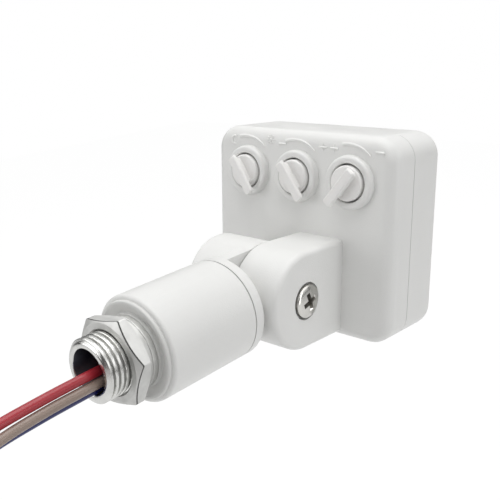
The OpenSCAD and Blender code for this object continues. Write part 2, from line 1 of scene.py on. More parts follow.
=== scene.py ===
import math
import bmesh
import bpy
from mathutils import Matrix, Vector


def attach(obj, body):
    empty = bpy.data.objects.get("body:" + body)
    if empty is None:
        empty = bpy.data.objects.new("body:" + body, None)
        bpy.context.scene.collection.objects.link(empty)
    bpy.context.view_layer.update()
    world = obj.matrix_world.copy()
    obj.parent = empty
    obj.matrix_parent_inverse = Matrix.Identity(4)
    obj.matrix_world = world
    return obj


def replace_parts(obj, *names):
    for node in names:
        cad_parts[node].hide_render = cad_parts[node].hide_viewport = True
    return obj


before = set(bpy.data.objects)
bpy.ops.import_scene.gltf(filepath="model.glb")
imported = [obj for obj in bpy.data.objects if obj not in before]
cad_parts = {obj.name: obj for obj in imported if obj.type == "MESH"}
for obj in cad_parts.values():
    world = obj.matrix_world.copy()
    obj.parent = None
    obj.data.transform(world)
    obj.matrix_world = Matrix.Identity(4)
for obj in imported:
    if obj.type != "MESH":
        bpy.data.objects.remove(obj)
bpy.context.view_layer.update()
scene = bpy.context.scene
scene.view_settings.view_transform = "Standard"

# Camera: the viewpoint of a small product shot, above and to the right of the stud's tip.
# It is aimed from the tilt axis of the knuckle, which is the centre of the object.
MM = 0.001
TILT_AXIS = Vector((0, 58.55 * MM, 0))
EYE_LEFT, EYE_UP, EYE_BACK = 3.05 * MM, 11.21 * MM, 209.61 * MM
azimuth, elevation, roll = (math.radians(a) for a in (41.58, 18.21, -3.27))
back = Vector((math.sin(azimuth) * math.cos(elevation),
               -math.cos(azimuth) * math.cos(elevation), math.sin(elevation)))
level_right = Vector((math.cos(azimuth), math.sin(azimuth), 0))
level_up = back.cross(level_right)
view_right = level_right * math.cos(roll) + level_up * math.sin(roll)
view_up = level_up * math.cos(roll) - level_right * math.sin(roll)
eye = TILT_AXIS - EYE_LEFT * view_right + EYE_UP * view_up + EYE_BACK * back
camera_data = bpy.data.cameras.new("camera")
camera_data.lens = 52.56
camera_data.sensor_width = 36
camera_data.clip_start = 0.01
camera_data.clip_end = 10
camera = bpy.data.objects.new("camera", camera_data)
camera.matrix_world = Matrix.Translation(eye) @ Matrix((view_right, view_up, back)).transposed().to_4x4()
scene.collection.objects.link(camera)
scene.camera = camera

# Studio: a white tent round the object, with large soft lamps above, behind and at both sides.
# The camera sees the tent as plain white, and bright metal sees it white above a dark band at the horizon.
# An upright lamp at the right puts a soft glint on the upright edges.


def area_lamp(name, place, target, size, power):
    """A soft rectangular lamp, turned towards its target."""
    lamp = bpy.data.lights.new(name, "AREA")
    lamp.shape = "RECTANGLE"
    lamp.size, lamp.size_y = size
    lamp.energy = power
    holder = bpy.data.objects.new(name, lamp)
    direction = Vector(target) - Vector(place)
    holder.location = place
    holder.rotation_euler = direction.to_track_quat("-Z", "Y").to_euler()
    scene.collection.objects.link(holder)


middle = (0, 0.05, 0)
area_lamp("top_softbox", (0, 0.05, 0.75), middle, (0.8, 0.8), 4.9)
area_lamp("front_softbox", (-0.5, -0.6, 0.2), middle, (0.5, 0.5), 1.35)
area_lamp("back_softbox", (0.7, 0.45, 0.2), middle, (0.5, 0.5), 0.5)
area_lamp("right_upright", (0.8, 0.16, 0.02), (0, 0.05, 0.02), (0.22, 0.5), 0.8)

TENT_FILL, BACKDROP_GLOW = 0.385, 1.0
BAND_START, BAND_END = (0.42, 0.5), (0.68, 1)
DARK_BAND = ((0.47, 0.05), (0.56, 0.04), (0.63, 0.8))
world = bpy.data.worlds.new("white_tent")
scene.world = world
world.use_nodes = True
tree = world.node_tree
tree.nodes.clear()
output = tree.nodes.new("ShaderNodeOutputWorld")
ray = tree.nodes.new("ShaderNodeLightPath")
heading = tree.nodes.new("ShaderNodeTexCoord")
parts = tree.nodes.new("ShaderNodeSeparateXYZ")
tree.links.new(heading.outputs["Generated"], parts.inputs[0])
horizon = tree.nodes.new("ShaderNodeValToRGB")
for stop, (place_on_ramp, shade) in zip(horizon.color_ramp.elements, (BAND_START, BAND_END)):
    stop.position = place_on_ramp
    stop.color = (shade, shade, shade, 1)
for place_on_ramp, shade in DARK_BAND:
    horizon.color_ramp.elements.new(place_on_ramp).color = (shade, shade, shade, 1)
lifted = tree.nodes.new("ShaderNodeMapRange")
lifted.inputs["From Min"].default_value = -1
lifted.inputs["From Max"].default_value = 1
tree.links.new(parts.outputs["Z"], lifted.inputs["Value"])
tree.links.new(lifted.outputs["Result"], horizon.inputs["Fac"])
reflected = tree.nodes.new("ShaderNodeBackground")
tree.links.new(horizon.outputs["Color"], reflected.inputs["Color"])
fill = tree.nodes.new("ShaderNodeBackground")
fill.inputs["Color"].default_value = (1, 1, 1, 1)
fill.inputs["Strength"].default_value = TENT_FILL
backdrop_white = tree.nodes.new("ShaderNodeBackground")
backdrop_white.inputs["Color"].default_value = (1, 1, 1, 1)
backdrop_white.inputs["Strength"].default_value = BACKDROP_GLOW
mirrored = tree.nodes.new("ShaderNodeMath")
mirrored.operation = "MAXIMUM"
tree.links.new(ray.outputs["Is Glossy Ray"], mirrored.inputs[0])
tree.links.new(ray.outputs["Is Transmission Ray"], mirrored.inputs[1])
indirect = tree.nodes.new("ShaderNodeMixShader")
tree.links.new(mirrored.outputs[0], indirect.inputs[0])
tree.links.new(fill.outputs[0], indirect.inputs[1])
tree.links.new(reflected.outputs[0], indirect.inputs[2])
chosen = tree.nodes.new("ShaderNodeMixShader")
tree.links.new(ray.outputs["Is Camera Ray"], chosen.inputs[0])
tree.links.new(indirect.outputs[0], chosen.inputs[1])
tree.links.new(backdrop_white.outputs[0], chosen.inputs[2])
tree.links.new(chosen.outputs[0], output.inputs[0])

FLOOR_HALF, FLOOR_Z = 1.6, -0.26
FLOOR_GLOW, SEEN_SHARE, MIRRORED_SHARE = 1.06, 0.9, 0.4
floor_mesh = bpy.data.meshes.new("floor")
floor_corners = [(x * FLOOR_HALF, y * FLOOR_HALF, FLOOR_Z) for x, y in ((-1, -1), (1, -1), (1, 1), (-1, 1))]
floor_mesh.from_pydata(floor_corners, [], [(0, 1, 2, 3)])
floor = bpy.data.objects.new("floor", floor_mesh)
scene.collection.objects.link(floor)
floor_finish = bpy.data.materials.new("white_floor")
floor_finish.use_nodes = True
tree = floor_finish.node_tree
tree.nodes.clear()
output = tree.nodes.new("ShaderNodeOutputMaterial")
paper = tree.nodes.new("ShaderNodeBsdfDiffuse")
paper.inputs["Color"].default_value = (0.92, 0.92, 0.92, 1)
bright = tree.nodes.new("ShaderNodeEmission")
bright.inputs["Strength"].default_value = FLOOR_GLOW
seen = tree.nodes.new("ShaderNodeLightPath")
share = tree.nodes.new("ShaderNodeMath")
share.operation = "MULTIPLY"
share.inputs[1].default_value = SEEN_SHARE
mirrored_share = tree.nodes.new("ShaderNodeMath")
mirrored_share.operation = "MULTIPLY_ADD"
mirrored_share.inputs[1].default_value = MIRRORED_SHARE
chosen = tree.nodes.new("ShaderNodeMixShader")
tree.links.new(seen.outputs["Is Camera Ray"], share.inputs[0])
tree.links.new(seen.outputs["Is Glossy Ray"], mirrored_share.inputs[0])
tree.links.new(share.outputs[0], mirrored_share.inputs[2])
tree.links.new(mirrored_share.outputs[0], chosen.inputs[0])
tree.links.new(paper.outputs[0], chosen.inputs[1])
tree.links.new(bright.outputs[0], chosen.inputs[2])
tree.links.new(chosen.outputs[0], output.inputs[0])
floor_mesh.materials.append(floor_finish)

# Leads: three single-core leads with smooth coloured sheaths, about 2.4 mm thick.
# They leave the rubber bush inside the stud side by side and hang down under their own weight.


def shader_of(material):
    """The material's tree, its surface shader and a node giving the place on the object."""
    material.use_nodes = True
    nodes = material.node_tree.nodes
    surface = nodes["Principled BSDF"]
    place = nodes.new("ShaderNodeTexCoord")
    return material.node_tree, surface, place.outputs["Object"]


def mottled(tree, place, scale, low, high, detail=3.0):
    """A soft noise between two values, at so many features to the metre."""
    noise = tree.nodes.new("ShaderNodeTexNoise")
    noise.inputs["Scale"].default_value = scale
    noise.inputs["Detail"].default_value = detail
    tree.links.new(place, noise.inputs["Vector"])
    spread = tree.nodes.new("ShaderNodeMapRange")
    spread.inputs["From Min"].default_value = 0.3
    spread.inputs["From Max"].default_value = 0.7
    spread.inputs["To Min"].default_value = low
    spread.inputs["To Max"].default_value = high
    tree.links.new(noise.outputs["Fac"], spread.inputs["Value"])
    return spread.outputs["Result"]


def tinted(tree, factor, first, second):
    """Mixes two colours by a factor."""
    mix = tree.nodes.new("ShaderNodeMix")
    mix.data_type = "RGBA"
    mix.inputs["A"].default_value = (*first, 1)
    mix.inputs["B"].default_value = (*second, 1)
    tree.links.new(factor, mix.inputs["Factor"])
    return mix.outputs["Result"]


def grained(tree, surface, height, depth):
    """Roughens a surface by a height, without changing its shape."""
    bump = tree.nodes.new("ShaderNodeBump")
    bump.inputs["Strength"].default_value = 1.0
    bump.inputs["Distance"].default_value = depth
    tree.links.new(height, bump.inputs["Height"])
    tree.links.new(bump.outputs["Normal"], surface.inputs["Normal"])


def moulded(name, colour, roughness, grain=2600, depth=0.00002, tint=0.03):
    """Moulded plastic or rubber: a fine grain, slight shade differences and an uneven polish."""
    material = bpy.data.materials.new(name)
    tree, surface, place = shader_of(material)
    darker = tuple(c * (1 - tint) for c in colour)
    tree.links.new(tinted(tree, mottled(tree, place, 45, 0, 1), colour, darker), surface.inputs["Base Color"])
    tree.links.new(mottled(tree, place, 160, roughness - 0.05, roughness + 0.06), surface.inputs["Roughness"])
    grained(tree, surface, mottled(tree, place, grain, 0, 1, 2.0), depth)
    return material


LEAD_D = 2.4 * MM
lead_routes = {
    "red": [(1.6, 13.8, 0.2), (1.6, 4, 0.2), (1.6, -8, 0), (1.6, -18, -0.4), (1.5, -28, -1.2),
            (1.3, -38, -2.8), (1, -48, -5.4), (0.6, -58, -9.2), (0.2, -67, -13.8), (-0.2, -75, -19.2),
            (-0.5, -82, -25.2), (-0.7, -88, -31.6)],
    "brown": [(2.6, 13.8, -2.1), (2.6, 4, -2.1), (2.6, -8, -2.3), (2.7, -18, -2.7), (3.0, -28, -3.6),
              (3.6, -38, -5.5), (4.6, -48, -8.5), (5.7, -57, -12.5), (6.8, -65, -17.4), (7.9, -72, -23.1),
              (8.8, -78, -29.4), (9.5, -83, -36)],
    "blue": [(0.9, 13.8, -4.15), (0.9, 4, -4.15), (0.9, -8, -4.35), (0.8, -18, -4.8), (0.5, -28, -5.8),
             (-0.2, -38, -7.9), (-1.3, -47, -11.2), (-2.7, -56, -15.6), (-4.2, -64, -21), (-5.6, -71, -27.1),
             (-6.8, -77, -33.7), (-7.7, -82, -40.6)],
}
sheath_colours = {"red": (0.40, 0.022, 0.035), "brown": (0.31, 0.235, 0.195), "blue": (0.012, 0.016, 0.12)}
leads = {}
for shade, route in lead_routes.items():
    line = bpy.data.curves.new("lead_" + shade, "CURVE")
    line.dimensions = "3D"
    line.bevel_depth = LEAD_D / 2
    line.bevel_resolution = 6
    line.resolution_u = 8
    line.use_fill_caps = True
    spline = line.splines.new("BEZIER")
    spline.bezier_points.add(len(route) - 1)
    for point, at in zip(spline.bezier_points, route):
        point.co = Vector(at) * MM
        point.handle_left_type = point.handle_right_type = "AUTO"
    lead = bpy.data.objects.new("sheath_" + shade, line)
    scene.collection.objects.link(lead)
    sheath = moulded("sheath_" + shade, sheath_colours[shade], 0.28, grain=900, depth=0.000006, tint=0.12)
    line.materials.append(sheath)
    leads[shade] = lead

# Bare ends: the conductors of the leads, stripped for about 8 mm, twisted and tinned.
# Seven strands lie round each other and come out of the cut end of the sheath.


def on_collection(name, mesh, material):
    """An object of the mesh and its material, put in the scene."""
    mesh.materials.append(material)
    piece = bpy.data.objects.new(name, mesh)
    scene.collection.objects.link(piece)
    return piece


def angles(sides):
    """The angles of so many places round a circle."""
    return [math.tau * k / sides for k in range(sides)]


BARE_LENGTH, STRAND_R, STRANDS = 8 * MM, 0.24 * MM, 7
LAY_R, LAY_TURN, SUNK = 1.7 * STRAND_R, 2.6, 0.3 * MM
tinned = bpy.data.materials.new("tinned_copper")
tree, surface, place = shader_of(tinned)
tree.links.new(tinted(tree, mottled(tree, place, 700, 0, 1), (0.60, 0.58, 0.54), (0.66, 0.50, 0.36)),
               surface.inputs["Base Color"])
surface.inputs["Metallic"].default_value = 1.0
tree.links.new(mottled(tree, place, 900, 0.22, 0.42), surface.inputs["Roughness"])
grained(tree, surface, mottled(tree, place, 2500, 0, 1), 0.00001)

strand_sides, strand_rings = 8, 22
bundle = bmesh.new()
for route in lead_routes.values():
    start, before = Vector(route[-1]) * MM, Vector(route[-2]) * MM
    along = (start - before).normalized()
    across = along.cross(Vector((0, 0, 1))).normalized()
    over = across.cross(along)
    for strand in range(STRANDS):
        lay_r = 0 if strand == 0 else LAY_R
        reach = BARE_LENGTH - 0.12 * MM * (strand % 3)
        rings = []
        for step in range(strand_rings):
            t = step / (strand_rings - 1)
            turn = strand * math.tau / 6 + t * LAY_TURN
            heart = start + along * (reach * t - SUNK * (1 - t)) + lay_r * (
                across * math.cos(turn) + over * math.sin(turn))
            rings.append([bundle.verts.new(heart + STRAND_R * (across * math.cos(a) + over * math.sin(a)))
                          for a in angles(strand_sides)])
        for one, two in zip(rings, rings[1:]):
            for k in range(strand_sides):
                bundle.faces.new((one[k], one[(k + 1) % strand_sides], two[(k + 1) % strand_sides], two[k]))
        bundle.faces.new(list(reversed(rings[0])))
        bundle.faces.new(rings[-1])
bmesh.ops.recalc_face_normals(bundle, faces=bundle.faces)
strand_mesh = bpy.data.meshes.new("bare_strands")
bundle.to_mesh(strand_mesh)
bundle.free()
strand_mesh.shade_smooth()
bare_strands = on_collection("bare_strands", strand_mesh, tinned)
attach(bare_strands, "base")
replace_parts(bare_strands, "bare_ends")
for shade, lead in leads.items():
    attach(lead, "base")
    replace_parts(lead, "lead_" + shade)

# Barrel, end plug and grommet: the white round body that carries the stud, moulded in ABS.
# The plug closes its near end and the black rubber bush holds the leads in the stud.


CREASE = 32


def cut_from(piece, cutter):
    """Takes the cutter's shape out of the piece's mesh."""
    cutting = piece.modifiers.new("cutting", "BOOLEAN")
    cutting.operation = "DIFFERENCE"
    cutting.solver = "EXACT"
    cutting.object = cutter
    depsgraph = bpy.context.evaluated_depsgraph_get()
    mesh = bpy.data.meshes.new_from_object(piece.evaluated_get(depsgraph))
    piece.modifiers.clear()
    piece.data = mesh
    bpy.data.objects.remove(cutter)
    mesh.shade_smooth()
    mesh.set_sharp_from_angle(angle=math.radians(CREASE))


def soften(piece, edge, crease=CREASE):
    """Gives every sharp edge a small round."""
    rounding = piece.modifiers.new("soft_edges", "BEVEL")
    rounding.width = edge
    rounding.segments = 2
    rounding.limit_method = "ANGLE"
    rounding.angle_limit = math.radians(crease)
    rounding.harden_normals = True


def carried_over(node, title, material, edge=0.12 * MM, crease=CREASE):
    """A copy of a solid with its flat faces whole, its edges softened and its round faces smooth."""
    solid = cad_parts[node].data
    work = bmesh.new()
    work.from_mesh(solid)
    bmesh.ops.remove_doubles(work, verts=work.verts, dist=0.002 * MM)
    bmesh.ops.dissolve_limit(work, angle_limit=math.radians(0.3), verts=work.verts, edges=work.edges)
    mesh = bpy.data.meshes.new(title)
    work.to_mesh(mesh)
    work.free()
    if "custom_normal" in mesh.attributes:
        mesh.attributes.remove(mesh.attributes["custom_normal"])
    mesh.shade_smooth()
    mesh.set_sharp_from_angle(angle=math.radians(crease))
    piece = on_collection(title, mesh, material)
    if edge:
        soften(piece, edge, crease)
    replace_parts(piece, node)
    return piece


def fitted(piece, body):
    """Gives a piece its body."""
    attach(piece, body)
    return piece


housing_white = moulded("housing_white", (0.80, 0.80, 0.785), 0.36)
plug_grey = moulded("plug_grey", (0.42, 0.42, 0.41), 0.5)
rubber_black = moulded("rubber_black", (0.018, 0.018, 0.018), 0.55, depth=0.00003)
fitted(carried_over("barrel", "barrel_shell", housing_white), "base")
fitted(carried_over("end_plug", "end_disc", plug_grey), "base")
fitted(carried_over("lead_grommet", "lead_bush", rubber_black), "base")

# Threaded stud: turned in steel and zinc plated, with a coarse thread, a chamfered tip and a plain bore.
# The thread starts at the chamfer and runs on under the nut.


def zinc(name, colour, roughness, ring_scale=0.0):
    """Bright plate on turned metal: fine rings from the tool, faint clouds in the plate."""
    material = bpy.data.materials.new(name)
    tree, surface, place = shader_of(material)
    surface.inputs["Metallic"].default_value = 1.0
    darker = tuple(c * 0.86 for c in colour)
    clouds = mottled(tree, place, 300, 0, 1)
    tree.links.new(tinted(tree, clouds, colour, darker), surface.inputs["Base Color"])
    tree.links.new(mottled(tree, place, 500, roughness - 0.06, roughness + 0.08), surface.inputs["Roughness"])
    if ring_scale:
        rings = tree.nodes.new("ShaderNodeTexWave")
        rings.wave_type = "RINGS"
        rings.rings_direction = "Y"
        rings.inputs["Scale"].default_value = ring_scale
        rings.inputs["Distortion"].default_value = 0.6
        tree.links.new(place, rings.inputs["Vector"])
        grained(tree, surface, rings.outputs["Fac"], 0.000004)
    else:
        grained(tree, surface, mottled(tree, place, 2200, 0, 1), 0.000006)
    return material


def from_rings(name, rings, material, close=False, crease=30):
    """A closed mesh through rings of points; the last ring joins the first if close is set."""
    work = bmesh.new()
    made = [[work.verts.new(p) for p in ring] for ring in rings]
    pairs = list(zip(made, made[1:])) + ([(made[-1], made[0])] if close else [])
    for one, two in pairs:
        for k in range(len(one)):
            n = (k + 1) % len(one)
            work.faces.new((one[k], one[n], two[n], two[k]))
    if not close:
        work.faces.new(list(reversed(made[0])))
        work.faces.new(made[-1])
    bmesh.ops.recalc_face_normals(work, faces=work.faces)
    mesh = bpy.data.meshes.new(name)
    work.to_mesh(mesh)
    work.free()
    mesh.shade_smooth()
    mesh.set_sharp_from_angle(angle=math.radians(crease))
    return on_collection(name, mesh, material)


THREAD_R, THREAD_PITCH, THREAD_DEPTH = 8 * MM, 1.5 * MM, 0.82 * MM
CREST_SHARE, FLANK_SHARE = 0.4, 0.42
BORE_R, BORE_CHAMFER = 5.7 * MM, 0.25 * MM
TIP_Y, NUT_Y, THREAD_END, STUD_BACK = -2.9 * MM, 2.9 * MM, 6.0 * MM, 21.9 * MM
THREAD_FADE, TIP_CHAMFER = 0.6 * MM, 0.6 * MM
FLANGE = [(7.49, 6.2), (7.49, 16.9), (10, 16.9), (10, 18.9), (7.49, 18.9), (7.49, 21.9)]
STUD_SIDES, THREAD_STEPS = 128, 130


def thread_radius(y, angle):
    """The thread's outside at a place along the stud: flat crests, sloping flanks and round roots."""
    phase = (y / THREAD_PITCH - angle / math.tau) % 1.0
    away = abs(phase - 0.5) * 2
    flank = min(1.0, max(0.0, (away - CREST_SHARE) / FLANK_SHARE))
    flank = flank * flank * (3 - 2 * flank)
    chamfer = THREAD_R - 2 * TIP_CHAMFER + 2 * (y - TIP_Y)
    run_out = THREAD_R - THREAD_DEPTH * flank * min(1.0, max(0.0, (THREAD_END - y) / THREAD_FADE))
    return min(run_out, chamfer, THREAD_R)


def ring_at(radius, y):
    """A ring of places round the stud's axis."""
    return [Vector((radius * math.cos(a), y, radius * math.sin(a))) for a in angles(STUD_SIDES)]


plated = zinc("zinc_plate", (0.72, 0.72, 0.70), 0.2)
# The bore's faces get a dark plate: painted shade inside the stud's bore.
bore_painted_shade = zinc("bore_painted_shade", (0.10, 0.105, 0.12), 0.4)
stud_rings = [ring_at(BORE_R, STUD_BACK), ring_at(BORE_R, TIP_Y + BORE_CHAMFER),
              ring_at(BORE_R + BORE_CHAMFER, TIP_Y)]
for step in range(THREAD_STEPS + 1):
    y = TIP_Y + (THREAD_END - TIP_Y) * step / THREAD_STEPS
    stud_rings.append([Vector((thread_radius(y, a) * math.cos(a), y, thread_radius(y, a) * math.sin(a)))
                       for a in angles(STUD_SIDES)])
stud_rings += [ring_at(radius * MM, y * MM) for radius, y in FLANGE]
stud = from_rings("stud_thread", stud_rings, plated, close=True, crease=50)
stud.data.materials.append(bore_painted_shade)
# The faces deep in the thread's roots get a darker plate: painted shade in the grooves.
stud.data.materials.append(zinc("root_painted_shade", (0.56, 0.56, 0.55), 0.35))
for face in stud.data.polygons:
    out = math.hypot(face.center.x, face.center.z)
    if out < BORE_R + 0.03 * MM:
        face.material_index = 1
    elif face.center.y > TIP_Y + TIP_CHAMFER and out < THREAD_R - 0.55 * THREAD_DEPTH:
        face.material_index = 2
fitted(stud, "base")
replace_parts(stud, "threaded_stud")

# Lock nut: a hexagon nut in a duller plate, its corners chamfered on both faces, with a round bearing collar.
# It clamps the sensor to the sheet that the stud goes through.
NUT_HALF, NUT_TURN, NUT_BACK = 10.25 * MM, math.radians(10), 7.0 * MM
NUT_FACE_R, NUT_CORNER_R, NUT_SLOPE = 0.97 * NUT_HALF, 11.9 * MM, math.tan(math.radians(26))
NUT_BORE, COLLAR_R, COLLAR_BACK = 7.51 * MM, 9.3 * MM, 8.7 * MM
CORNER_ROUND, SHADE_BAND_WIDTH, CHAMFER_STEPS = 0.5 * MM, 0.42 * MM, 6


def hexagon_radius(angle):
    """The distance to the side of a hexagon with slightly rounded corners."""
    turned = (angle - NUT_TURN) % (math.pi / 3)
    off = abs(turned - math.pi / 6)
    inner = NUT_HALF - CORNER_ROUND
    flat = NUT_HALF / math.cos(off)
    if flat * math.sin(off) <= inner * math.tan(math.pi / 6):
        return flat
    reach, swing = inner / math.cos(math.pi / 6), math.pi / 6 - off
    return reach * math.cos(swing) + math.sqrt(CORNER_ROUND ** 2 - (reach * math.sin(swing)) ** 2)


nut_angles = sorted(set([math.tau * k / 240 for k in range(240)]
                        + [NUT_TURN + k * math.pi / 3 + d * math.radians(0.45)
                           for k in range(6) for d in range(-5, 6)]))


def nut_ring(limit, y_flat, slope):
    """A ring of the nut no further out than the limit; past its flat face it rises by the slope's sign."""
    ring = []
    for a in nut_angles:
        r = min(limit, hexagon_radius(a))
        rise = max(0.0, r - NUT_FACE_R) * NUT_SLOPE * slope
        ring.append(Vector((r * math.cos(a), y_flat + rise, r * math.sin(a))))
    return ring


chamfer_limits = [NUT_FACE_R + step / CHAMFER_STEPS * (NUT_CORNER_R - NUT_FACE_R)
                  for step in range(1, CHAMFER_STEPS + 1)]
nut_rings = [nut_ring(NUT_BORE, COLLAR_BACK, 0), nut_ring(NUT_BORE, NUT_Y + 0.9 * MM, 0),
             nut_ring(8.45 * MM, NUT_Y, 0), nut_ring(9.0 * MM, NUT_Y, 0), nut_ring(NUT_FACE_R, NUT_Y, 0)]
nut_rings += [nut_ring(limit, NUT_Y, 1) for limit in chamfer_limits]
PAINTED_SHADE_BAND = ((len(nut_rings) - 1) * len(nut_angles), len(nut_rings) * len(nut_angles))
nut_rings.append([place + Vector((0, SHADE_BAND_WIDTH, 0)) for place in nut_rings[-1]])
nut_rings += [nut_ring(limit, NUT_BACK, -1) for limit in reversed(chamfer_limits)]
nut_rings += [nut_ring(NUT_FACE_R, NUT_BACK, 0), nut_ring(COLLAR_R, NUT_BACK, 0),
              nut_ring(COLLAR_R, COLLAR_BACK - 0.15 * MM, 0), nut_ring(COLLAR_R - 0.1 * MM, COLLAR_BACK, 0)]
nut_plate = zinc("nut_plate", (0.66, 0.66, 0.645), 0.5)
# A 0.42 mm strip of the sides along the front chamfer is nearly black: a painted shade line along the nut's
# front edge.
edge_painted_shade = zinc("edge_painted_shade", (0.08, 0.08, 0.078), 0.35)
nut = from_rings("hexagon_nut", nut_rings, nut_plate, close=True, crease=24)
nut.data.materials.append(edge_painted_shade)
for face in nut.data.polygons:
    if PAINTED_SHADE_BAND[0] <= face.index < PAINTED_SHADE_BAND[1]:
        face.material_index = 1
fitted(nut, "base")
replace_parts(nut, "lock_nut")

# Washer and gasket behind the nut: a plated steel washer, and a light grey moulded gasket dished round it.
# They seal the hole that the stud goes through. The gasket's profile is its radius and place along Y.
gasket_grey = moulded("gasket_grey", (0.70, 0.70, 0.685), 0.5)
GASKET = [(8.2, 11.9), (8.2, 10.3), (9.42, 10.3), (9.5, 10.45), (9.5, 11.3), (9.7, 11.45), (11.6, 10.4),
          (11.9, 10.3), (12.25, 10.3), (12.5, 10.38), (12.65, 10.55), (12.7, 10.8), (12.7, 11.3),
          (10.95, 11.3), (10.95, 11.9)]
fitted(carried_over("plain_washer", "plated_washer", nut_plate, 0.15 * MM), "base")
gasket = from_rings("grey_gasket", [ring_at(r * MM, y * MM) for r, y in GASKET], gasket_grey, close=True)
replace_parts(fitted(gasket, "base"), "end_gasket")

# Swivel: the cap's hollow spigot turns in the barrel's web, held by a clip over a steel washer.
# An O-ring in the cap's groove keeps water out and gives the joint its drag.
stainless = zinc("stainless", (0.62, 0.62, 0.62), 0.3)
fitted(carried_over("knuckle_cap", "knuckle_ear", housing_white, 0.25 * MM), "knuckle")
fitted(carried_over("swivel_seal", "swivel_ring", rubber_black, 0), "knuckle")
fitted(carried_over("swivel_washer", "swivel_disc", stainless, 0.1 * MM), "base")
fitted(carried_over("swivel_clip", "spring_clip", stainless, 0.1 * MM), "knuckle")
fitted(carried_over("friction_washer", "friction_disc", rubber_black, 0.1 * MM), "knuckle")
fitted(carried_over("pivot_nut", "pivot_hexagon", stainless, 0.1 * MM), "knuckle")


def ring_on_axis(radius, x, sides):
    """A ring of places round the tilt axis, x along it; both in mm."""
    return [TILT_AXIS + Vector((x, radius * math.cos(a), radius * math.sin(a))) * MM for a in angles(sides)]


screw_bright = zinc("screw_bright", (0.66, 0.65, 0.62), 0.14)
recess_painted_shade = zinc("recess_painted_shade", (0.31, 0.30, 0.28), 0.4)
screw_thread = [(-14.6 + 0.35 * k, 1.98 - 0.26 * (k % 2)) for k in range(14)]
screw_head = [(13.8, 2.4), (15.95, 4.64), (16.05, 4.7), (16.75, 4.7), (16.92, 4.64), (17.06, 4.45),
              (17.22, 4.05), (17.38, 3.4), (17.52, 2.6), (17.62, 1.8), (17.68, 0.9), (17.69, 0.2)]
screw_profile = [(-14.8, 1.6)] + screw_thread + [(-9.5, 1.98), (13.8, 1.98)] + screw_head
pivot_pin = from_rings("pivot_pin", [ring_on_axis(r, x, 96) for x, r in screw_profile], screw_bright)
fitted(pivot_pin, "knuckle")
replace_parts(pivot_pin, "pivot_screw")

# Cross recesses of the screws: two tapered slots across each other.
# The pivot screw's is 5.2 mm long, 1.4 mm wide and 2.2 mm deep in the middle of its domed head.


def cross_cut(piece, axes, top, deep, half_long, half_wide):
    """Cuts a tapered cross into screw heads; each axis has Z out of the head and its origin at height 0."""
    for quarter in (0, 1):
        shape = bmesh.new()
        for axis in axes:
            turned = axis @ Matrix.Rotation(quarter * math.pi / 2, 4, "Z")
            ends = []
            for height, part in ((top + 0.4, 1.1), (top - deep, 0.45)):
                ends.append([shape.verts.new(turned @ (Vector((sx * half_wide * part, sy * half_long * part,
                                                               height)) * MM))
                             for sx, sy in ((-1, -1), (1, -1), (1, 1), (-1, 1))])
            shape.faces.new(ends[0])
            shape.faces.new(ends[1])
            for k in range(4):
                n = (k + 1) % 4
                shape.faces.new((ends[0][k], ends[0][n], ends[1][n], ends[1][k]))
        bmesh.ops.recalc_face_normals(shape, faces=shape.faces)
        cross_mesh = bpy.data.meshes.new("cross_cutter")
        shape.to_mesh(cross_mesh)
        shape.free()
        cutter = bpy.data.objects.new("cross_cutter", cross_mesh)
        scene.collection.objects.link(cutter)
        cut_from(piece, cutter)
    # The recess's walls and floor get a darker plate: painted shade in the cross recess.
    piece.data.materials.append(recess_painted_shade)
    for face in piece.data.polygons:
        for axis in axes:
            off = axis.inverted() @ face.center / MM
            out = (axis.inverted().to_3x3() @ face.normal).z
            if math.hypot(off.x, off.y) < half_long * 1.1 and top - deep - 0.05 < off.z < top + 0.4 and (
                    out < 0.5 or off.z < top - deep + 0.1):
                face.material_index = 1


CROSS_TURN = math.radians(17)
pivot_axis = (Matrix.Translation(TILT_AXIS) @ Matrix.Rotation(CROSS_TURN, 4, "X")
              @ Matrix.Rotation(math.pi / 2, 4, "Y"))
cross_cut(pivot_pin, [pivot_axis], 17.5, 2.2, 2.6, 0.7)

# Head: two halves moulded in the same white ABS, joined by a tongue and a rubber seal.
# The rear half has the second ear, three raised rings and the wells that the knobs turn in.
REST_TILT = math.radians(-4.5)
SINK_R, SINK_X = 5.35, (14.3, 17.5)
HEAD = Matrix.Translation(TILT_AXIS) @ Matrix.Rotation(REST_TILT, 4, "X")
rear_half = fitted(carried_over("rear_housing", "rear_half", housing_white, 0), "head")
cut_from(rear_half, from_rings("sink_cutter", [ring_on_axis(SINK_R, x, 72) for x in SINK_X], housing_white))
soften(rear_half, 0.12 * MM)
fitted(carried_over("front_housing", "front_half", housing_white), "head")
fitted(carried_over("housing_seal", "parting_seal", rubber_black, 0), "head")

# Marks round the knobs: arcs that taper to the right, minus and plus signs, a moon and a sun.
# They are moulded on the rear face as low round ridges, about 0.3 mm high, and coloured whiter than the face
# as painted highlight.
MARK_TOP, MARK_ROOT = 16.5, 16.9
KNOB_Z, SIGN_Z = 30.7, 39.7
ARC_RADII, ARC_END, ARC_STEPS = (10.8, 9.85), 38, 24
MINUS_SIGNS, PLUS_SIGNS = ((-5.5, SIGN_Z), (27.5, 39.6)), ((8.9, SIGN_Z), (12.75, SIGN_Z))
MOON_X, MOON_R, MOON_STEPS = -24.2, 1.25, 16
SUN_X, SUN_Z, SUN_RAYS = -10.05, 40.6, 8
marks = bmesh.new()


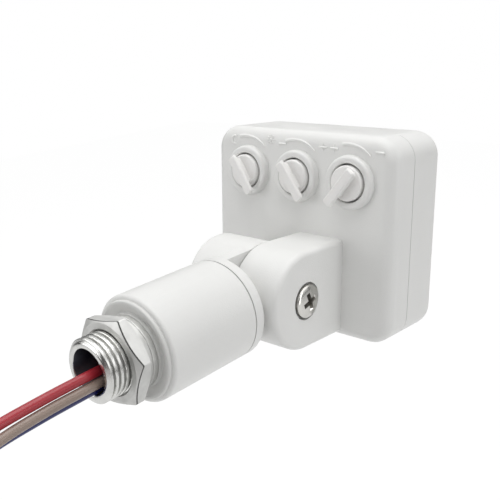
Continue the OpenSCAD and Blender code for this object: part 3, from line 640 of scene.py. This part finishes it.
def raised(shape, path, halves, top, root):
    """A raised line through places on a face of the head, with half its width at each place."""
    rings = []
    for i, (x, z) in enumerate(path):
        before, after = path[max(i - 1, 0)], path[min(i + 1, len(path) - 1)]
        run = Vector((after[0] - before[0], after[1] - before[1])).normalized()
        side = Vector((-run.y, run.x))
        ring = []
        shoulder = top + 0.25 * (root - top)
        for reach, y in ((-1, root), (-0.75, shoulder), (0, top), (0.75, shoulder), (1, root)):
            ring.append(shape.verts.new(HEAD @ (Vector((x + side.x * reach * halves[i], y,
                                                        z + side.y * reach * halves[i])) * MM)))
        rings.append(ring)
    for one, two in zip(rings, rings[1:]):
        for k in range(5):
            n = (k + 1) % 5
            shape.faces.new((one[k], one[n], two[n], two[k]))
    shape.faces.new(rings[0])
    shape.faces.new(rings[-1])


def arc_of(x, z, radius, start, end, steps):
    """Places on an arc; its angles run from straight up towards +X, and its radius from first to last."""
    turns_of = [math.radians(start + (end - start) * k / steps) for k in range(steps + 1)]
    reaches = [radius[0] + (radius[1] - radius[0]) * k / steps for k in range(steps + 1)]
    return [(x + r * math.sin(a), z + r * math.cos(a)) for a, r in zip(turns_of, reaches)]


for x, start in ((-18.5, -20), (0, -24), (18.5, -16)):
    raised(marks, arc_of(x, KNOB_Z, ARC_RADII, start, ARC_END, ARC_STEPS),
           [0.55 - 0.35 * k / ARC_STEPS for k in range(ARC_STEPS + 1)], MARK_TOP, MARK_ROOT)
for x, z in MINUS_SIGNS + PLUS_SIGNS:
    raised(marks, [(x - 1.35, z), (x + 1.35, z)], [0.32, 0.32], MARK_TOP, MARK_ROOT)
for x, z in PLUS_SIGNS:
    raised(marks, [(x, z - 1.1), (x, z + 1.1)], [0.22, 0.22], MARK_TOP + 0.15, MARK_ROOT)
raised(marks, arc_of(MOON_X, SIGN_Z, (MOON_R, MOON_R), 25, -205, MOON_STEPS),
       [0.2 + 0.16 * math.sin(math.pi * k / MOON_STEPS) for k in range(MOON_STEPS + 1)], MARK_TOP, MARK_ROOT)
raised(marks, [(SUN_X + off, SUN_Z) for off in (-0.5, -0.25, 0, 0.25, 0.5)],
       [0.2, 0.45, 0.52, 0.45, 0.2], MARK_TOP + 0.14, MARK_ROOT)
for a in angles(SUN_RAYS):
    raised(marks, [(SUN_X + r * math.sin(a), SUN_Z + r * math.cos(a)) for r in (0.85, 1.4)], [0.17, 0.14],
           MARK_TOP + 0.12, MARK_ROOT)
bmesh.ops.recalc_face_normals(marks, faces=marks.faces)
mark_mesh = bpy.data.meshes.new("rear_marks")
marks.to_mesh(mark_mesh)
marks.free()
mark_mesh.shade_smooth()
mark_mesh.set_sharp_from_angle(angle=math.radians(60))
# The marks' whiter plastic is painted highlight on their raised ridges.
mark_painted_highlight = moulded("mark_painted_highlight", (0.88, 0.88, 0.865), 0.36)
fitted(on_collection("rear_marks", mark_mesh, mark_painted_highlight), "head")

# Knobs: three moulded knobs, each a disc in its well with a finger bar that stands over the ring.
# A stem under the disc turns the trimmer on the circuit board.
knob_white = moulded("knob_white", (0.87, 0.86, 0.845), 0.34)
for job in ("light", "time", "range"):
    fitted(carried_over("knob_" + job, job + "_disc", knob_white, 0.2 * MM), job + "_knob")
fitted(carried_over("knob_seals", "stem_rings", rubber_black, 0), "head")

# Lens: a milky moulded dome on a rounded rectangle of 46 x 34 mm, held by a flange inside the front.
# Its face is four rows of facets, each a small lens of fine rings, parted by shallow lines.
LENS_HALF, LENS_CORE, LENS_CORNER, LENS_EDGE = (22.6, 16.6), (16, 10), 6.6, 0.4
LENS_R, LENS_TOP, LENS_SEAT, LENS_Z = 75.95, 50.64, 41.7, 14
LENS_WALL, LIP_OUT, LIP_THICK = 0.9, 2.38, 1.2
LINE_HALF, LINE_DEEP, RING_PITCH, RING_DEEP, PLAIN_BORDER = 0.2, 0.16, 1.05, 0.075, 0.9
LENS_COLUMNS, CORE_ROWS, CORNER_ROWS = 184, 80, 40
facet_rows = ((-16.6, -9.5, 4), (-9.5, -2, 5), (-2, 6, 6), (6, 16.6, 7))


def dome(x, z, inside=0.0):
    """The height of the lens's dome at a place, or of its inner face."""
    return LENS_TOP - LENS_R + math.sqrt((LENS_R - inside) ** 2 - x * x - z * z)


def facet_depth(x, z, border):
    """How far the face lies under the dome at a place: lines between the facets, rings inside them."""
    if border < PLAIN_BORDER:
        return 0.0
    low_z, high_z, count = next((row for row in facet_rows if row[0] <= z <= row[1]), facet_rows[-1])
    across = 2 * LENS_HALF[0] / count
    nearest = (math.floor((x + LENS_HALF[0]) / across) + 0.5) * across - LENS_HALF[0]
    to_line = across / 2 - abs(x - nearest)
    if low_z > -LENS_HALF[1]:
        to_line = min(to_line, z - low_z)
    if high_z < LENS_HALF[1]:
        to_line = min(to_line, high_z - z)
    reach = math.hypot(x - nearest, z - (low_z + high_z) / 2)
    return LINE_DEEP if to_line < LINE_HALF else RING_DEEP * (reach / RING_PITCH % 1.0)


corner_z = [LENS_CORE[1] + LENS_CORNER * math.sin(math.pi / 2 * k / CORNER_ROWS)
            for k in range(1, CORNER_ROWS + 1)]
rows_z = [-z for z in reversed(corner_z)]
rows_z += [-LENS_CORE[1] + 2 * LENS_CORE[1] / CORE_ROWS * k for k in range(CORE_ROWS + 1)]
rows_z += corner_z
shape = bmesh.new()
face_rows = []
for z in rows_z:
    half = LENS_CORE[0] + math.sqrt(max(0.0, LENS_CORNER ** 2 - max(0.0, abs(z) - LENS_CORE[1]) ** 2))
    row = []
    for k in range(LENS_COLUMNS + 1):
        x = half * (2 * k / LENS_COLUMNS - 1)
        border = min(half - abs(x), LENS_HALF[1] - abs(z))
        row.append((x, z, shape.verts.new((x, dome(x, z) - facet_depth(x, z, border), z))))
    face_rows.append(row)
for one, two in zip(face_rows, face_rows[1:]):
    for k in range(LENS_COLUMNS):
        shape.faces.new((one[k][2], one[k + 1][2], two[k + 1][2], two[k][2]))
rim = (face_rows[0] + [row[-1] for row in face_rows[1:]] + face_rows[-1][-2::-1]
       + [row[0] for row in face_rows[-2:0:-1]])
loops = [[vert for x, z, vert in rim]]
outward = []
for x, z, vert in rim:
    off = Vector((x - max(-LENS_CORE[0], min(LENS_CORE[0], x)), z - max(-LENS_CORE[1], min(LENS_CORE[1], z))))
    outward.append(off.normalized())
for offset, y in [(LENS_EDGE * math.sin(a), -LENS_EDGE * (1 - math.cos(a))) for a in (0.5, 1.05, 1.571)] + [
        (LENS_EDGE, LENS_SEAT), (LIP_OUT, LENS_SEAT - 0.02), (LIP_OUT, LENS_SEAT - LIP_THICK),
        (-0.5, LENS_SEAT - LIP_THICK)]:
    loops.append([shape.verts.new((x + n.x * offset, dome(x, z) + y if y < 0 else y, z + n.y * offset))
                  for (x, z, vert), n in zip(rim, outward)])
for part in (1.0, 0.75, 0.5, 0.25, 0.06):
    inner = [((x - 0.5 * n.x) * part, (z - 0.5 * n.y) * part) for (x, z, vert), n in zip(rim, outward)]
    loops.append([shape.verts.new((x, dome(x, z, LENS_WALL), z)) for x, z in inner])
for one, two in zip(loops, loops[1:]):
    for k in range(len(rim)):
        n = (k + 1) % len(rim)
        shape.faces.new((one[k], one[n], two[n], two[k]))
shape.faces.new(loops[-1])
bmesh.ops.recalc_face_normals(shape, faces=shape.faces)
shape.transform(HEAD @ Matrix.Scale(MM, 4) @ Matrix.Translation((0, 0, LENS_Z)))
lens_mesh = bpy.data.meshes.new("fresnel_lens")
shape.to_mesh(lens_mesh)
shape.free()
lens_mesh.shade_smooth()
lens_mesh.set_sharp_from_angle(angle=math.radians(40))
lens_milk = moulded("lens_milk", (0.84, 0.84, 0.82), 0.3)
lens_shader = lens_milk.node_tree.nodes["Principled BSDF"]
lens_shader.inputs["Subsurface Weight"].default_value = 0.25
lens_shader.inputs["Subsurface Scale"].default_value = 0.001
lens = fitted(on_collection("fresnel_lens", lens_mesh, lens_milk), "head")
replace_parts(lens, "lens")
frame_black = moulded("frame_black", (0.02, 0.02, 0.02), 0.5)
fitted(carried_over("lens_frame", "lens_holder", frame_black, 0.2 * MM), "head")

# Circuit board: 54 x 48 mm and 1.6 mm thick, on four bosses, with copper tracks under a green mask.
# Its screws have round heads with a cross recess.
BOARD_FACE = 29.6
SCREW_X, SCREW_Z = 23.5, (-6.5, 20.5)
board_green = moulded("board_green", (0.02, 0.14, 0.05), 0.3)
track_green = moulded("track_green", (0.05, 0.24, 0.09), 0.28)
fitted(carried_over("circuit_board", "board_sheet", board_green, 0.12 * MM), "head")
TRACK_HALF, TRACK_UP, TRACK_SUNK = 0.45, 0.07, 0.05
track_paths = (
    [(-18.5, 28), (-18.5, 24), (-9, 17), (-5, 15)],
    [(0, 28), (0, 20.5)],
    [(18.5, 28), (18.5, 24), (9, 17), (5, 15)],
    [(-21, 31), (-24.5, 28), (-24.5, 24), (-12, 12), (-5, 12.5)],
    [(21, 31), (24.5, 28), (24.5, 24), (12, 12), (5, 12.5)],
    [(-14, -3.5), (-14, 3), (-9, 9), (-5, 11)],
    [(14, -1), (14, 3), (9, 9), (5, 11)],
    [(-23, 3), (-16, 3), (-13, 6)],
    [(23, 3), (17, 3), (14, 6)])
tracks = bmesh.new()
for path in track_paths:
    raised(tracks, path, [TRACK_HALF] * len(path), BOARD_FACE + TRACK_UP, BOARD_FACE - TRACK_SUNK)
bmesh.ops.recalc_face_normals(tracks, faces=tracks.faces)
track_mesh = bpy.data.meshes.new("board_tracks")
tracks.to_mesh(track_mesh)
tracks.free()
fitted(on_collection("board_tracks", track_mesh, track_green), "head")
fixings = fitted(carried_over("board_screws", "board_fixings", stainless, 0.2 * MM), "head")
cross_cut(fixings, [HEAD @ Matrix.Translation(Vector((x, 0, z)) * MM) @ Matrix.Rotation(-math.pi / 2, 4, "X")
                    for x in (-SCREW_X, SCREW_X) for z in SCREW_Z], BOARD_FACE + 1.4, 0.9, 1.3, 0.35)

# Small parts on the board, which repeat: solder joints over the pins and chip parts beside the sensor.
# One node tree sets both out in rows; a fixed seed leaves out some and turns others.


def rows_of_parts():
    """The tree: a grid of places, a random choice of them and a copy of the part on each."""
    group = bpy.data.node_groups.new("rows_of_parts", "GeometryNodeTree")
    for name, kind in (("Width", "Float"), ("Height", "Float"), ("Columns", "Int"), ("Rows", "Int"),
                       ("Chance", "Float"), ("Seed", "Int"), ("Turn", "Float"), ("Part", "Object"),
                       ("Coat", "Material")):
        group.interface.new_socket(name=name, in_out="INPUT", socket_type="NodeSocket" + kind)
    group.interface.new_socket(name="Geometry", in_out="OUTPUT", socket_type="NodeSocketGeometry")
    add, link = group.nodes.new, group.links.new
    given = add("NodeGroupInput")
    grid = add("GeometryNodeMeshGrid")
    for name, socket in (("Width", "Size X"), ("Height", "Size Y"), ("Columns", "Vertices X"),
                         ("Rows", "Vertices Y")):
        link(given.outputs[name], grid.inputs[socket])
    kept = add("FunctionNodeRandomValue")
    kept.data_type = "BOOLEAN"
    link(given.outputs["Chance"], kept.inputs["Probability"])
    link(given.outputs["Seed"], kept.inputs["Seed"])
    quarter = add("FunctionNodeRandomValue")
    quarter.data_type = "INT"
    least, most = quarter.inputs[4], quarter.inputs[5]
    least.default_value, most.default_value = 0, 1
    link(given.outputs["Seed"], quarter.inputs["Seed"])
    angle = add("ShaderNodeMath")
    angle.operation = "MULTIPLY"
    link(quarter.outputs[2], angle.inputs[0])
    link(given.outputs["Turn"], angle.inputs[1])
    spin = add("ShaderNodeCombineXYZ")
    link(angle.outputs[0], spin.inputs["Z"])
    small = add("GeometryNodeObjectInfo")
    link(given.outputs["Part"], small.inputs["Object"])
    placed = add("GeometryNodeInstanceOnPoints")
    link(grid.outputs["Mesh"], placed.inputs["Points"])
    link(kept.outputs[3], placed.inputs["Selection"])
    link(small.outputs["Geometry"], placed.inputs["Instance"])
    link(spin.outputs["Vector"], placed.inputs["Rotation"])
    whole = add("GeometryNodeRealizeInstances")
    link(placed.outputs["Instances"], whole.inputs["Geometry"])
    coat = add("GeometryNodeSetMaterial")
    link(given.outputs["Coat"], coat.inputs["Material"])
    link(whole.outputs["Geometry"], coat.inputs["Geometry"])
    link(coat.outputs["Geometry"], add("NodeGroupOutput").inputs["Geometry"])
    return group


def set_out(group, title, centre, values):
    """Rows of one small part on the board, about a centre; its values are those of the tree's inputs."""
    holder = bpy.data.objects.new(title, bpy.data.meshes.new(title))
    scene.collection.objects.link(holder)
    rows = holder.modifiers.new("rows", "NODES")
    rows.node_group = group
    sockets = [item for item in group.interface.items_tree if item.in_out == "INPUT"]
    for socket, value in zip(sockets, values):
        rows[socket.identifier] = value
    mesh = bpy.data.meshes.new_from_object(holder.evaluated_get(bpy.context.evaluated_depsgraph_get()))
    holder.modifiers.clear()
    mesh.transform(HEAD @ Matrix.Translation(Vector((centre[0], BOARD_FACE - 0.03, centre[1])) * MM)
                   @ Matrix.Rotation(-math.pi / 2, 4, "X"))
    mesh.shade_smooth()
    mesh.set_sharp_from_angle(angle=math.radians(35))
    holder.data = mesh
    fitted(holder, "head")


def turned_part(title, profile, sides):
    """A small pattern piece turned about Z, from radius and height in mm."""
    rings = [[Vector((r * math.cos(a), r * math.sin(a), h)) * MM for a in angles(sides)] for r, h in profile]
    return from_rings(title, rings, None)


solder = zinc("solder", (0.55, 0.55, 0.54), 0.25)
chip_black = moulded("chip_black", (0.03, 0.03, 0.03), 0.45)
joint = turned_part("joint_pattern", [(0.9, 0), (0.8, 0.15), (0.45, 0.45), (0.3, 0.9), (0.12, 1.0)], 16)
chip = turned_part("chip_pattern", [(0.9, 0), (0.9, 0.4), (0.8, 0.5)], 4)
rows_tree = rows_of_parts()
set_out(rows_tree, "trimmer_joints", (0, 31),
        (37 * MM, 5 * MM, 3, 2, 1.0, 3, 0.0, joint, solder))
set_out(rows_tree, "relay_joints", (11, 4.5),
        (12 * MM, 0.0, 4, 1, 1.0, 3, 0.0, joint, solder))
set_out(rows_tree, "chip_parts", (0, 22),
        (34 * MM, 6 * MM, 12, 3, 0.55, 5, math.pi / 4, chip, chip_black))
for pattern in (joint, chip):
    bpy.data.objects.remove(pattern)

# Sensor, relay, capacitors and trimmers: the sensor's can stands behind the lens and has a dark window.
# The relay and the trimmers are on the rear face of the board, the capacitors lie on its front.


def box_ring(centre, half_w, half_h, corner, y):
    """A rounded rectangle of places in the head, at y."""
    ring = []
    for quarter, (sx, sz) in enumerate(((1, 1), (-1, 1), (-1, -1), (1, -1))):
        for k in range(5):
            a = (quarter + k / 4) * math.pi / 2
            ring.append(HEAD @ (Vector((centre[0] + sx * (half_w - corner) + corner * math.cos(a), y,
                                        centre[1] + sz * (half_h - corner) + corner * math.sin(a))) * MM))
    return ring


def cased(node, title, material, centre, half_w, half_h, corner, steps):
    """A moulded case; each step is a place along Y and how far the side is set in."""
    rings = [box_ring(centre, half_w - inset, half_h - inset, corner, y) for y, inset in steps]
    piece = fitted(from_rings(title, rings, material, crease=35), "head")
    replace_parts(piece, node)


window_dark = moulded("window_dark", (0.03, 0.025, 0.03), 0.12)
relay_blue = moulded("relay_blue", (0.03, 0.10, 0.32), 0.35)
film_yellow = moulded("film_yellow", (0.62, 0.33, 0.03), 0.35)
sleeve_black = moulded("sleeve_black", (0.02, 0.022, 0.03), 0.3)
trimmer_blue = moulded("trimmer_blue", (0.03, 0.13, 0.34), 0.4)
can = fitted(carried_over("sensor_can", "sensor_housing", stainless, 0.15 * MM), "head")
can.data.materials.append(window_dark)
head_out = HEAD.to_3x3() @ Vector((0, 1, 0))
can_top = HEAD @ (Vector((0, BOARD_FACE + 4.55, LENS_Z)) * MM)
for face in can.data.polygons:
    if (face.center - can_top).dot(head_out) > 0:
        face.material_index = 1
cased("relay", "relay_case", relay_blue, (10.5, -0.6), 9.5, 7.5, 0.9,
      [(27.97, 0.3), (27.7, 0), (26.6, 0), (26.45, 0.25), (26.2, 0.25), (26.05, 0), (20.5, 0), (20.15, 0.12),
       (20.0, 0.45), (20.0, 2.2), (20.12, 2.4)])
cased("film_capacitor", "film_block", film_yellow, (-11.75, 2), 8.75, 4, 1.1,
      [(29.64, 0.5), (29.9, 0.15), (30.3, 0), (34.9, 0), (35.35, 0.2), (35.6, 0.7)])
SLEEVE_Y, SLEEVE_Z = 32.77, 1.15
SLEEVE = [(5.02, 2.2), (5.02, 2.9), (5.2, 3.1), (6.1, 3.1), (6.45, 2.8), (6.8, 3.1), (15.6, 3.1),
          (15.9, 2.9), (15.98, 2.5), (15.98, 2.2), (15.85, 2.1)]
sleeve_rings = [[HEAD @ (Vector((x, SLEEVE_Y + r * math.cos(a), SLEEVE_Z + r * math.sin(a))) * MM)
                 for a in angles(40)] for x, r in SLEEVE]
sleeve = fitted(from_rings("round_sleeve", sleeve_rings, sleeve_black, crease=35), "head")
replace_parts(sleeve, "round_capacitor")
fitted(carried_over("trimmers", "trimmer_blocks", trimmer_blue, 0.4 * MM), "head")
